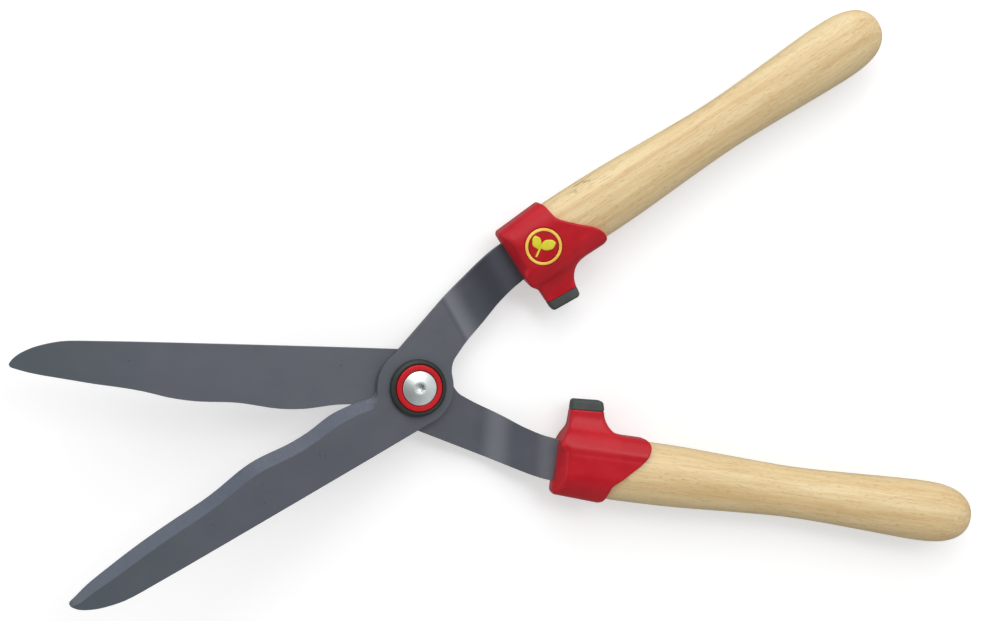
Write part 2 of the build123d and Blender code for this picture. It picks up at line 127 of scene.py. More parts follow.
def face_outward(ob, sharp_degrees=None):
    """Turn all normals outward, and mark the edges that bend by sharp_degrees or more."""
    bm = bmesh.new()
    bm.from_mesh(ob.data)
    bmesh.ops.recalc_face_normals(bm, faces=bm.faces)
    if sharp_degrees is not None:
        limit = math.radians(sharp_degrees)
        for edge in bm.edges:
            if len(edge.link_faces) == 2:
                edge.smooth = edge.calc_face_angle(0.0) < limit
    bm.to_mesh(ob.data)
    bm.free()


def dress(ob, material):
    ob.data.materials.clear()
    ob.data.materials.append(material)


def fit(ob, material, body, piece):
    """Give a piece its material, the body it moves with and the CAD piece it stands for."""
    dress(ob, material)
    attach(ob, body)
    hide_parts(piece)


def circle_angles(count):
    return np.linspace(0, 2 * math.pi, count, endpoint=False)


def loft_faces(loops, around, closed=False):
    """Quads joining loops of around vertices; closed also joins the last loop to the first."""
    faces = []
    for i in range(loops if closed else loops - 1):
        this, other = i * around, (i + 1) % loops * around
        for j in range(around):
            k = (j + 1) % around
            faces.append((this + j, this + k, other + k, other + j))
    return faces


def catmull_rom(points, per):
    """Smooth open curve through points, with per steps to each span."""
    padded = [points[0], *points, points[-1]]
    curve = []
    for i in range(1, len(padded) - 2):
        before, start, end, after = (np.array(p, float) for p in padded[i - 1:i + 3])
        square = 2 * before - 5 * start + 4 * end - after
        cube = 3 * start - before - 3 * end + after
        for k in range(per):
            t = k / per
            curve.append(0.5 * ((2 * start) + (end - before) * t + square * t * t + cube * t ** 3))
    curve.append(np.array(points[-1], float))
    return np.array(curve)


# --------------------------------------------------------- distance fields


def surface_net(distance, low, high, step):
    """Vertices and quads on the zero level of distance(x, y, z), sampled from low to high."""
    counts = [int(math.ceil((b - a) / step)) + 1 for a, b in zip(low, high)]
    xs, ys, zs = (low[i] + step * np.arange(counts[i]) for i in range(3))
    field = np.empty(counts, np.float32)
    for start in range(0, counts[2], 16):  # in slabs, to limit memory
        slab = slice(start, start + 16)
        field[:, :, slab] = distance(xs[:, None, None], ys[None, :, None], zs[None, None, slab])
    inside = field < 0

    # Each cell that the surface crosses gets a vertex at the mean of its edge crossings.
    cells = [n - 1 for n in counts]
    total = np.zeros(cells + [3], np.float32)
    hits = np.zeros(cells, np.float32)

    def at_corner(grid, corner):
        return grid[tuple(slice(c, c + n) for c, n in zip(corner, cells))]

    for axis in range(3):
        first, second = [d for d in range(3) if d != axis]
        for p in (0, 1):
            for q in (0, 1):
                start = [0, 0, 0]
                start[first], start[second] = p, q
                end = list(start)
                end[axis] = 1
                value, following = at_corner(field, start), at_corner(field, end)
                hit = at_corner(inside, start) != at_corner(inside, end)
                share = np.where(hit, value / np.where(hit, value - following, 1), 0)
                hits += hit
                for d in range(3):
                    total[..., d] += share if d == axis else hit * start[d]
    active = hits > 0
    found = np.argwhere(active)
    index = -np.ones(cells, np.int64)
    index[active] = np.arange(len(found))
    verts = (found + total[active] / hits[active][:, None]) * step + np.array(low)

    # Each grid edge that the surface crosses gets a quad between the four cells round it.
    quads = []
    unit = np.eye(3, dtype=int)
    for axis in range(3):
        first, second = (axis + 1) % 3, (axis + 2) % 3
        edges = np.argwhere(np.diff(inside, axis=axis))
        for d in (first, second):
            edges = edges[(edges[:, d] > 0) & (edges[:, d] < counts[d] - 1)]
        shifts = (unit[first] + unit[second], unit[second], 0, unit[first])
        quad = np.stack([index[tuple((edges - s).T)] for s in shifts], 1)
        starts_inside = inside[tuple(edges.T)]
        quads.append(np.where(starts_inside[:, None], quad, quad[:, ::-1]))
    quads = np.concatenate(quads)
    quads = quads[(quads >= 0).all(1)]

    # Three clipped Newton steps draw the vertices onto the surface.
    probe = 0.08 * step
    for _ in range(3):
        here = distance(*verts.T)
        gradient = np.stack([
            (distance(*(verts + shift).T) - distance(*(verts - shift).T)) / (2 * probe)
            for shift in probe * np.eye(3)], 1)
        steepness = np.maximum((gradient ** 2).sum(1), 0.3)
        move = np.clip(here / steepness, -0.4 * step, 0.4 * step)
        verts = verts - gradient * move[:, None]
    return verts, quads


def intersect(a, b, radius):
    """Intersection with a rounded edge."""
    corner = np.sqrt(np.maximum(radius + a, 0) ** 2 + np.maximum(radius + b, 0) ** 2)
    return np.minimum(-radius, np.maximum(a, b)) + corner


def unite(a, b, radius):
    """Union with a fillet."""
    corner = np.sqrt(np.maximum(radius - a, 0) ** 2 + np.maximum(radius - b, 0) ** 2)
    return np.maximum(radius, np.minimum(a, b)) - corner


def smoothstep(x, start, end):
    t = np.clip((x - start) / (end - start), 0, 1)
    return t * t * (3 - 2 * t)


def polygon_distance(x, y, polygon):
    """Signed distance in the plane to a closed polygon, negative inside."""
    x, y = np.broadcast_arrays(x, y)
    nearest = np.full(x.shape, 1e9)
    inside = np.zeros(x.shape, bool)
    for i, (x0, y0) in enumerate(polygon):
        x1, y1 = polygon[(i + 1) % len(polygon)]
        dx, dy = x1 - x0, y1 - y0
        t = np.clip(((x - x0) * dx + (y - y0) * dy) / (dx * dx + dy * dy), 0, 1)
        nearest = np.minimum(nearest, (x - x0 - t * dx) ** 2 + (y - y0 - t * dy) ** 2)
        if dy != 0:
            inside ^= ((y0 > y) != (y1 > y)) & (x < (dx * (y - y0) / dy + x0))
    return np.where(inside, -1, 1) * np.sqrt(nearest)


# ----------------------------------------------------------- shader helpers


class Signal:
    """A shader output. Arithmetic on it adds Math nodes."""

    def __init__(self, socket):
        self.socket = socket

    def __add__(self, other):
        return calculate("ADD", self, other)

    def __radd__(self, other):
        return calculate("ADD", other, self)

    def __sub__(self, other):
        return calculate("SUBTRACT", self, other)

    def __rsub__(self, other):
        return calculate("SUBTRACT", other, self)

    def __mul__(self, other):
        return calculate("MULTIPLY", self, other)


def plug(socket, value):
    """Link a Signal to a socket, or set the socket to a plain value."""
    if isinstance(value, Signal):
        socket.id_data.links.new(value.socket, socket)
    elif socket.type == "RGBA" and len(value) == 3:
        socket.default_value = (*value, 1)
    else:
        socket.default_value = value


def add_node(kind, inputs=None, tree=None, **settings):
    """Add a node. Its tree is that of its Signal inputs unless given."""
    inputs = inputs or {}
    if tree is None:
        tree = next(v.socket.id_data for v in inputs.values() if isinstance(v, Signal))
    node = tree.nodes.new(kind)
    for name, value in settings.items():
        setattr(node, name, value)
    for key, value in inputs.items():
        plug(node.inputs[key], value)
    return node


def calculate(operation, first, second=0.0, clamp=False):
    node = add_node("ShaderNodeMath", {0: first, 1: second}, operation=operation, use_clamp=clamp)
    return Signal(node.outputs[0])


def vector_math(operation, first, second=(0, 0, 0), output="Vector"):
    node = add_node("ShaderNodeVectorMath", {0: first, 1: second}, operation=operation)
    return Signal(node.outputs[output])


def dot(first, second):
    return vector_math("DOT_PRODUCT", first, second, "Value")


def combine(x, y, z):
    return Signal(add_node("ShaderNodeCombineXYZ", {0: x, 1: y, 2: z}).outputs[0])


def split(vector):
    return [Signal(s) for s in add_node("ShaderNodeSeparateXYZ", {0: vector}).outputs]


def noise(vector, scale=1.0, detail=3.0, roughness=0.6, distortion=0.0):
    """Noise from 0 to 1. A scale of three numbers stretches it along the axes."""
    if isinstance(scale, tuple):
        vector = vector_math("MULTIPLY", vector, scale)
        scale = 1.0
    inputs = {"Vector": vector, "Scale": scale, "Detail": detail,
              "Roughness": roughness, "Distortion": distortion}
    return Signal(add_node("ShaderNodeTexNoise", inputs).outputs["Fac"])


def remap(value, span, to=(0.0, 1.0), smooth=False):
    """Map span onto to, clamped at its ends."""
    node = add_node("ShaderNodeMapRange", dict(enumerate((value, *span, *to))),
                    interpolation_type="SMOOTHSTEP" if smooth else "LINEAR")
    return Signal(node.outputs[0])


def mix(under, over, amount):
    node = add_node("ShaderNodeMix", {0: amount, 6: under, 7: over}, data_type="RGBA")
    return Signal(node.outputs[2])


def ramp(factor, stops):
    """Colour ramp through (position, colour) stops."""
    node = add_node("ShaderNodeValToRGB", {0: factor})
    elements = node.color_ramp.elements
    while len(elements) > 1:
        elements.remove(elements[-1])
    elements[0].position = stops[0][0]
    elements[0].color = (*stops[0][1], 1)
    for position, colour in stops[1:]:
        elements.new(position).color = (*colour, 1)
    return Signal(node.outputs[0])


def bump(height, distance, strength, normal=None):
    inputs = {"Height": height, "Distance": distance, "Strength": strength}
    if normal is not None:
        inputs["Normal"] = normal
    return Signal(add_node("ShaderNodeBump", inputs).outputs[0])


def bevel(tree, radius, samples=4):
    node = add_node("ShaderNodeBevel", {"Radius": radius}, tree, samples=samples)
    return Signal(node.outputs[0])


def srgb(*channels):
    """Linear colour from 0-255 sRGB channels."""
    return tuple(((c / 255 + 0.055) / 1.055) ** 2.4 if c > 10.3 else c / 255 / 12.92
                 for c in channels)


def tint_ramp(factor, tint, darker, lighter, spread):
    """Ramp from tint shifted by darker to tint shifted by lighter, spread either side of 0.5."""
    low, high = (srgb(*(min(t + s, 255) for t, s in zip(tint, shift)))
                 for shift in (darker, lighter))
    return ramp(factor, [(0.5 - spread, low), (0.5, srgb(*tint)), (0.5 + spread, high)])


def empty_material(name):
    """A material with only an output node. Returns it, its tree and the Surface input."""
    material = bpy.data.materials.new(name)
    material.use_nodes = True
    tree = material.node_tree
    tree.nodes.clear()
    return material, tree, add_node("ShaderNodeOutputMaterial", tree=tree).inputs["Surface"]


class Surface:
    """A Principled material patterned in object coordinates."""

    def __init__(self, name):
        self.material, self.tree, output = empty_material(name)
        self.shader = add_node("ShaderNodeBsdfPrincipled", tree=self.tree)
        plug(output, Signal(self.shader.outputs[0]))
        self.coord = Signal(add_node("ShaderNodeTexCoord", tree=self.tree).outputs["Object"])

    def finish(self, **inputs):
        for name, value in inputs.items():
            plug(self.shader.inputs[name.replace("_", " ")], value)
        return self.material


# --------------------------------------------------------------- materials

# Painted highlight band at the bend: where it fades in and out along the half (m), and its
# strength.
BEND_HIGHLIGHT = {
    UPPER: SimpleNamespace(fade_in=(0.0395, 0.0425), fade_out=(0.043, 0.054), amount=0.85),
    LOWER: SimpleNamespace(fade_in=(0.041, 0.050), fade_out=(0.052, 0.062), amount=0.6),
}


def steel_material(name, side):
    """Grey coat on steel. The ground edge is bluer and scored across."""
    surface = Surface(name)
    coord = surface.coord
    half = half_matrix(side)
    along = dot(coord, half @ Vector((1, 0, 0)))  # negative on the blade
    across = dot(coord, half @ Vector((0, side, 0)))
    height = dot(coord, AXIS)

    # Masks: facing is 1 on the flat face, ground marks the sloping edge, rim the corners.
    soft = bevel(surface.tree, radius=0.45 * MM, samples=6)
    geometry = add_node("ShaderNodeNewGeometry", tree=surface.tree)
    true_normal = Signal(geometry.outputs["True Normal"])
    facing = dot(true_normal, AXIS) * float(side)
    ground = remap(facing, span=(0.96, 0.94)) * remap(facing, span=(0.80, 0.84))
    ground = ground * remap(along, span=(-0.0185, -0.0205))
    rim = remap(1.0 - dot(soft, true_normal), span=(0.004, 0.10))

    scored = noise(combine(along * 2600.0, across * 260.0, height * 260.0), roughness=0.65)
    coarse = noise(coord, scale=55.0, detail=4.0)
    fine = noise(coord, scale=1400.0, detail=2.0)
    grain = noise(coord, scale=380.0, detail=4.0, roughness=0.7)
    cloud = noise(combine(along * 22.0, across * 60.0, height), roughness=0.5)

    # Coat: clouded grey, shifted at the tip and over the middle, with a painted highlight round the
    # bend; further up the tang, painted shade on the upper half and a painted highlight on the
    # lower.
    coat = ramp(coarse * 0.35 + cloud * 0.65, [
        (0.30, srgb(78, 81, 90)), (0.52, srgb(83, 86, 95)), (0.72, srgb(88, 91, 99))])
    tip = remap(along, span=(-0.10, -0.225))
    coat = mix(coat, srgb(82, 93, 98), amount=tip * 0.6)
    middle = remap(along, span=(0.051, 0.044)) * remap(along, span=(-0.215, -0.15))
    lift = 0.28 if side == UPPER else remap(along, span=(-0.012, -0.04), to=(0.15, 0.5))
    coat = mix(coat, srgb(99, 102, 111), amount=middle * lift)
    highlight = BEND_HIGHLIGHT[side]
    bend = (remap(along, span=highlight.fade_in, smooth=True)
            * remap(along, span=highlight.fade_out, to=(1.0, 0.0), smooth=True))
    # Lighter band across the first bend: painted highlight.
    coat = mix(coat, srgb(124, 127, 134), amount=bend * highlight.amount)
    # Further up the tang: painted shade on the upper half, and a painted highlight on the lower
    # half near its collar.
    if side == UPPER:
        shade = (remap(along, span=(0.052, 0.067), smooth=True)
                 * remap(along, span=(0.069, 0.077), to=(1.0, 0.35), smooth=True))
        coat = mix(coat, srgb(62, 65, 73), amount=shade)
    else:
        shine = remap(along, span=(0.072, 0.079), to=(0.0, 0.45), smooth=True)
        coat = mix(coat, srgb(124, 127, 134), amount=shine)

    # Bare metal of the ground edge: scored, paler towards the tip, with small nicks.
    metal = ramp(scored, [
        (0.30, srgb(62, 70, 85)), (0.5, srgb(69, 77, 92)), (0.74, srgb(80, 88, 104))])
    nick_noise = noise(combine(along * 900.0, across * 900.0, 0.0), detail=2.0, roughness=0.55)
    nick = remap(nick_noise, span=(0.66, 0.72))
    pale = remap(along, span=(-0.10, -0.20), to=(0.0, 0.45))
    metal = mix(metal, srgb(92, 101, 115), amount=pale)
    metal = mix(metal, srgb(118, 124, 132), amount=nick * 0.2)

    # Corners are worn unevenly, though not on the flat face.
    worn = rim * remap(noise(coord, scale=260.0), span=(0.35, 0.6), to=(0.35, 1.0))
    worn = worn * remap(facing, span=(0.9999, 0.999))
    colour = mix(mix(coat, metal, amount=ground), srgb(128, 130, 136), amount=worn * 0.5)
    relief = fine * 0.5 + grain * 0.5 + scored * ground * 1.6
    return surface.finish(
        Base_Color=colour,
        Metallic=ground * 0.08,
        Roughness=0.31 + (coarse - 0.5) * 0.2 + ground * 0.09,
        Normal=bump(relief, distance=0.012 * MM, strength=0.5, normal=soft))


def badge_marks(coord):
    """Masks on the upper collar's top: two circular grooves, and the dish within the badge."""
    x, y, z = split(coord)
    dx = x - BADGE_X * MM
    dy = y - BADGE_Y * MM
    radius = calculate("SQRT", dx * dx + dy * dy)

    def groove(middle, width=0.5):
        offset = calculate("ABSOLUTE", radius - middle * MM)
        return remap(offset, span=(width * MM, 0.3 * width * MM), smooth=True)

    def on_top():
        return remap(z, span=(9.0 * MM, 12.0 * MM))

    grooves = calculate("ADD", groove(11.15), groove(8.9), clamp=True) * on_top()
    dish = remap(radius, span=(12.6 * MM, 11.4 * MM), smooth=True) * on_top()
    return grooves, dish


def red_material(name, badge=False, tint=(187, 27, 39)):
    """Moulded semi-gloss plastic with a faint satin grain."""
    surface = Surface(name)
    coord = surface.coord
    big = noise(coord, scale=38.0, roughness=0.55)
    medium = noise(coord, scale=240.0)
    fine = noise(coord, scale=2200.0, detail=2.0)
    colour = tint_ramp(big * 0.7 + medium * 0.3, tint,
                       darker=(-12, -6, -6), lighter=(9, 7, 6), spread=0.2)
    relief = medium * 1.0 + fine * 0.35
    scuff = remap(noise(coord, scale=(900.0, 160.0, 500.0), detail=2.0, roughness=0.5),
                  span=(0.68, 0.76))
    roughness = remap(big, span=(0.3, 0.7), to=(0.30, 0.40)) + scuff * 0.15
    if badge:
        grooves, dish = badge_marks(coord)
        # The grooves are darkened with painted shade.
        colour = mix(colour, srgb(82, 16, 14), amount=grooves * 0.75)
        relief = relief - dish * 4.0 - grooves * 6.0
    return surface.finish(
        Base_Color=colour, Roughness=roughness, Specular_IOR_Level=0.22,
        Normal=bump(relief, distance=0.02 * MM, strength=0.5))


def rubber_material(name, tint, roughness):
    surface = Surface(name)
    big = noise(surface.coord, scale=90.0)
    fine = noise(surface.coord, scale=1500.0, roughness=0.7)
    return surface.finish(
        Base_Color=tint_ramp(big * 0.65 + fine * 0.35, tint,
                             darker=(-9, -9, -9), lighter=(9, 9, 9), spread=0.18),
        Roughness=remap(fine, span=(0.3, 0.7), to=(roughness - 0.07, roughness + 0.1)),
        Specular_IOR_Level=0.35,
        Normal=bump(fine + big * 0.5, distance=0.05 * MM, strength=0.6))


def wood_material(name, seed, dark_edge=False):
    """Varnished beech: fine grain along the handle, short flecks, faint growth bands."""
    surface = Surface(name)
    coord = surface.coord
    grown = vector_math("ADD", coord, (0.37 * seed, 0.19 * seed, 0.11 * seed))
    x, y, z = split(coord)
    warp = noise(grown, scale=(6.0, 30.0, 30.0), detail=2.0, roughness=0.5)
    wavy_y = y + (warp - 0.5) * 0.006
    bands = noise(combine(x * 3.0, wavy_y * 120.0 + 3.1 * seed, z * 70.0),
                  detail=2.0, roughness=0.5)
    fibre = noise(grown, scale=(60.0, 1500.0, 1500.0))
    streak = noise(grown, scale=(26.0, 420.0, 420.0), detail=4.0, distortion=0.3)
    fleck = remap(noise(grown, scale=(260.0, 1500.0, 1500.0), detail=1.0, roughness=0.4),
                  span=(0.60, 0.72))
    patch = noise(grown, scale=(16.0, 60.0, 60.0), detail=2.0, roughness=0.5)
    long_line = remap(noise(grown, scale=(9.0, 900.0, 900.0), detail=2.0, roughness=0.5),
                      span=(0.62, 0.74))

    colour = ramp(bands * 0.5 + streak * 0.32 + fibre * 0.18, [
        (0.34, srgb(206, 172, 120)), (0.45, srgb(219, 190, 140)),
        (0.54, srgb(229, 205, 157)), (0.66, srgb(236, 216, 173))])
    colour = mix(colour, srgb(208, 176, 126), amount=remap(patch, span=(0.55, 0.75)) * 0.35)
    colour = mix(colour, srgb(170, 132, 88), amount=fleck * 0.38)
    colour = mix(colour, srgb(178, 140, 92), amount=long_line * 0.30)
    if dark_edge:
        # Clusters of dark spots along the outer (+y) edge.
        near = remap(y, span=(0.012, 0.019))
        spots = remap(noise(grown, scale=(150.0, 420.0, 420.0), detail=2.0), span=(0.56, 0.64))
        clusters = remap(noise(grown, scale=(34.0, 30.0, 30.0), detail=1.0, roughness=0.5),
                         span=(0.45, 0.58))
        colour = mix(colour, srgb(112, 88, 52), amount=near * (spots * clusters) * 0.75)
    relief = fibre * 0.6 + streak * 0.9 - fleck * 0.8
    return surface.finish(
        Base_Color=colour,
        Roughness=remap(streak, span=(0.3, 0.7), to=(0.50, 0.38)),
        Specular_IOR_Level=0.4, Coat_Weight=0.12, Coat_Roughness=0.3,
        Normal=bump(relief, distance=0.05 * MM, strength=0.45))


def metal_material(name, tint, roughness, turned, metallic=1.0, use_bevel=True):
    """Metal with rings round the bolt axis, as strong as turned says."""
    surface = Surface(name)
    coord = surface.coord
    axis = Signal(add_node("ShaderNodeCombineXYZ", dict(enumerate(AXIS)), surface.tree).outputs[0])
    axial = add_node("ShaderNodeVectorMath", {0: axis, "Scale": dot(coord, AXIS)},
                     operation="SCALE")
    radial = vector_math("SUBTRACT", coord, Signal(axial.outputs["Vector"]))
    radius = vector_math("LENGTH", radial, output="Value")
    big = noise(coord, scale=140.0)
    fine = noise(coord, scale=1700.0, detail=2.0)
    rings = noise(combine(radius * 5200.0, 0.0, 0.0), detail=2.0, roughness=0.5)
    base_roughness = remap(big, span=(0.3, 0.7), to=(roughness + 0.04, roughness - 0.03))
    normal = bevel(surface.tree, radius=0.3 * MM) if use_bevel else None
    return surface.finish(
        Base_Color=tint_ramp(big, tint, darker=(-14, -14, -14), lighter=(10, 10, 10),
                             spread=0.25),
        Metallic=metallic,
        Roughness=base_roughness + (rings - 0.5) * (0.12 * turned),
        Normal=bump(fine * 0.5 + rings * turned, distance=0.012 * MM, strength=0.5,
                    normal=normal))


def inlay_material(name, tint):
    surface = Surface(name)
    big = noise(surface.coord, scale=160.0)
    fine = noise(surface.coord, scale=1900.0, detail=2.0)
    return surface.finish(
        Base_Color=tint_ramp(big, tint, darker=(-10, -14, -24), lighter=(6, 8, 22), spread=0.2),
        Roughness=remap(fine, span=(0.3, 0.7), to=(0.34, 0.46)),
        Normal=bump(fine, distance=0.02 * MM, strength=0.5))


red_plastic = {UPPER: red_material("red_upper", badge=True), LOWER: red_material("red_lower")}
red_cap = red_material("red_cap", tint=(196, 26, 34))
pad_rubber = rubber_material("pad_rubber", tint=(70, 76, 75), roughness=0.62)
seal_rubber = rubber_material("seal_rubber", tint=(40, 47, 44), roughness=0.42)
bright_bolt = metal_material("bright_bolt", tint=(219, 226, 225), roughness=0.30, turned=0.5,
                             metallic=0.82, use_bevel=False)
zinc = metal_material("zinc", tint=(170, 174, 178), roughness=0.34, turned=0.5)
plain_steel = metal_material("plain_steel", tint=(140, 142, 148), roughness=0.4, turned=0.2)
bronze = metal_material("bronze", tint=(176, 140, 92), roughness=0.38, turned=0.5)
badge_gold = inlay_material("badge_gold", tint=(250, 200, 82))
badge_leaf = inlay_material("badge_leaf", tint=(222, 214, 52))
beech = {
    UPPER: wood_material("beech_upper", seed=1.0, dark_edge=True),
    LOWER: wood_material("beech_lower", seed=2.7),
}

# ------------------------------------------- collars and pads (mm, grip frame)

PAD_THICKNESS = 6.2
PAD_TURN = math.radians(0.2)  # of the pad's face from the plane between the halves
PAD_GAP = 0.05
PAD_INSET = 0.12  # of the pad's sides within the arm's
PAD_STEP = 0.4
COLLAR_STEP = 0.55

ARM_HALF = 7.6  # half thickness of the arm that carries the pad
SHELL_HALF = 17.0  # half thickness of the shell round the handle
LOW_X = -20.4  # the end away from the grip
SHELL_INNER = -19.7  # y of the shell's inner face
HOLLOW_Y, HOLLOW_RADIUS = -35.3, 15.5  # rounded hollow between arm and shell
HOLE_X, HOLE_Y, HOLE_RADIUS, HOLE_TOP = -2.0, -9.5, 4.05, -15.9  # hole in the underside

# outer: y of the shell's outer face      shoulder: y where the outer slope meets the face
# edge_rise, edge_span: how far the low-x end moves to +x, and between which y
# cheek: how far that end stands out past y = 11 to 12.4
# hollow_x, arm_taper: middle of the hollow, and slope of the arm's edge below it
# scallop: (x, y) stations of the high-x end, smoothed to a curve
COLLARS = {
    UPPER: SimpleNamespace(
        outer=20.5, shoulder=11.8, edge_rise=3.75, edge_span=(-16.2, -24.7), cheek=0.3,
        hollow_x=18.8, arm_taper=0.15,
        scallop=[
            (10.1, 40.0), (10.2, 24.0), (10.6, 20.9), (12.3, 18.4), (12.9, 14.0), (14.6, 8.4),
            (22.2, 0.0), (27.7, -5.2), (31.2, -9.2), (32.9, -12.6), (33.5, -15.4),
            (33.3, -17.6), (32.3, -19.3), (30.4, -21.2), (28.2, -25.0), (27.0, -40.0)]),
    LOWER: SimpleNamespace(
        outer=20.95, shoulder=10.6, edge_rise=4.3, edge_span=(-11.0, -24.5), cheek=1.0,
        hollow_x=19.6, arm_taper=0.25,
        scallop=[
            (7.7, 40.0), (7.9, 24.5), (8.3, 21.9), (10.7, 19.6), (12.1, 15.8), (13.0, 12.4),
            (13.9, 10.0), (15.7, 8.0), (20.1, 4.1), (24.9, -0.8), (29.3, -5.3), (32.2, -9.2),
            (33.7, -12.6), (34.2, -15.4), (33.9, -17.6), (32.9, -19.3), (31.0, -21.2),
            (28.6, -25.0), (27.0, -40.0)]),
}


def pad_plane(side, back):
    """Distance past the pad's face set back by back, as a function of grip coordinates."""
    origin, x_axis, y_axis, z_axis = grip_axes(side)
    normal = Vector((math.sin(PAD_TURN), -side * math.cos(PAD_TURN), 0))
    base = normal.dot(origin) + PAD_GAP + back
    nx, ny, nz = normal.dot(x_axis), normal.dot(y_axis) * side, normal.dot(z_axis)
    return lambda x, y, z: base + nx * x + ny * y + nz * z


def low_x_end(collar, x, y):
    """Distance past the low-x end: an S-curved edge, with a cheek on its outer part."""
    start, end = collar.edge_span
    t = np.clip((y - start) / (end - start), 0, 1)
    edge = LOW_X + collar.edge_rise * t * t * (3 - 2 * t) - collar.cheek * smoothstep(y, 11.0, 12.4)
    slope = collar.edge_rise * 6 / (end - start) * t * (1 - t)
    return (edge - x) / np.sqrt(1 + slope * slope)


def inner_slope(y, face):
    """Plane sloping from the face to the inner flank."""
    return -0.600 * (y + 12.3) + 0.800 * face


def arm_shape(collar, x, y, z, inset=0.0):
    """Arm reaching inward from the shell to the pad. The collar's own arm has no inset."""
    arc_x = collar.hollow_x
    edge = np.where(
        y < HOLLOW_Y,
        x - (arc_x - HOLLOW_RADIUS) + collar.arm_taper * (HOLLOW_Y - y),
        np.where(x > arc_x, (HOLLOW_Y + HOLLOW_RADIUS) - y,
                 HOLLOW_RADIUS - np.hypot(x - arc_x, y - HOLLOW_Y)))
    face = np.abs(z) - SHELL_HALF
    flat = np.abs(z) - ARM_HALF
    if inset == 0.0:
        flat = unite(flat, intersect(face, inner_slope(y, face), 4.5), 3.0)
    arm = intersect(edge + inset, flat + inset, 2.8)
    return intersect(arm, y + 9.0, 3.0)


def shell_shape(collar, x, y, z):
    """Flat faces with a ridge either side, sloping off to rounded flanks."""
    outer = collar.outer + 0.065 * np.clip(x, -22, 14)
    face = np.abs(z) - (SHELL_HALF - 0.3 * smoothstep(x, 10, 34))
    outer_slope = 0.669 * (y - collar.shoulder) + 0.743 * face
    end_slope = -0.776 * (x + 15.1 - 0.05 * y) + 0.630 * face
    shell = intersect(face, outer_slope, 4.0)
    shell = intersect(shell, inner_slope(y, face), 4.5)
    shell = intersect(shell, end_slope, 1.2)
    shell = intersect(shell, y - outer, 3.0)
    return intersect(shell, SHELL_INNER - y, 3.0)


def collar_shape(side):
    collar = COLLARS[side]
    scallop = [*catmull_rom(collar.scallop, per=5), (-60.0, -40.0), (-60.0, 40.0)]
    pad_foot = pad_plane(side, PAD_THICKNESS)

    def distance(x, y, z):
        body = unite(shell_shape(collar, x, y, z), arm_shape(collar, x, y, z), 3.2)
        body = intersect(body, low_x_end(collar, x, y), 2.4)
        body = intersect(body, polygon_distance(x, y, scallop), 0.9)
        body = intersect(body, pad_foot(x, y, z), 0.45)
        hole = np.maximum(np.hypot(x - HOLE_X, y - HOLE_Y) - HOLE_RADIUS, z - HOLE_TOP)
        return np.maximum(body, -hole)

    return distance


def pad_shape(side):
    """Rubber pad that goes on from the collar's arm."""
    collar = COLLARS[side]
    foot, face = pad_plane(side, PAD_THICKNESS), pad_plane(side, 0.0)

    def distance(x, y, z):
        arm = arm_shape(collar, x, y, z, PAD_INSET)
        arm = intersect(arm, low_x_end(collar, x, y) + PAD_INSET, 2.4)
        pad = intersect(arm, face(x, y, z), 2.0)
        return intersect(pad, PAD_INSET - foot(x, y, z), 0.4)

    return distance


def add_shape(name, distance, low, high, step, side):
    verts, quads = surface_net(distance, low, high, step)
    verts = verts * MM
    if side == LOWER:
        verts[:, 1] *= -1
        quads = quads[:, ::-1]
    return add_mesh(name, verts, quads, grip_matrix(side))


collar_shapes = {side: collar_shape(side) for side in (UPPER, LOWER)}
for side, name, body in SIDES:
    collar_skin = add_shape(name + "_collar_skin", collar_shapes[side],
                            (-24.1, -42.3, -18.6), (38.4, 23.4, 18.7), COLLAR_STEP, side)
    fit(collar_skin, red_plastic[side], body, name + "_collar")
    pad_skin = add_shape(name + "_pad_skin", pad_shape(side),
                         (-19.3, -46.1, -9.1), (6.2, -30.2, 9.2), PAD_STEP, side)
    fit(pad_skin, pad_rubber, body, name + "_buffer")

# ---------------------------------------------------- handles (mm, grip frame)

# (x, half width)
HALF_WIDTHS = [
    (-12.0, 15.6), (-8.0, 16.4), (-1.0, 17.6), (6.0, 18.4), (16.0, 18.9), (30.0, 18.9),
    (45.0, 18.75), (60.0, 18.35), (75.0, 17.6), (90.0, 16.85), (105.0, 16.15), (120.0, 15.6),
    (135.0, 15.6), (150.0, 16.05), (165.0, 16.7), (180.0, 17.4), (195.0, 18.1), (205.0, 18.45)]
# (x, y of the centre line)
BOW = [
    (-12.0, 0.0), (0.0, 0.0), (30.0, -0.1), (60.0, -0.25), (90.0, -0.35), (120.0, -0.4),
    (150.0, -0.35), (180.0, -0.2), (210.0, 0.0), (241.0, 0.0)]
HANDLE_START, HANDLE_END = -11.0, 240.4
NOSE_START, NOSE_HALF_WIDTH = HALF_WIDTHS[-1]
HANDLE_FLATNESS = 0.80  # thickness over width
HANDLE_EXPONENT = 2.12  # superellipse section, 2 being a plain ellipse
HANDLE_AROUND = 72


def smooth_table(table, x):
    curve = catmull_rom(table, per=10)
    return np.interp(x, curve[:, 0], curve[:, 1])


def signed_power(values, exponent):
    return np.sign(values) * np.abs(values) ** exponent


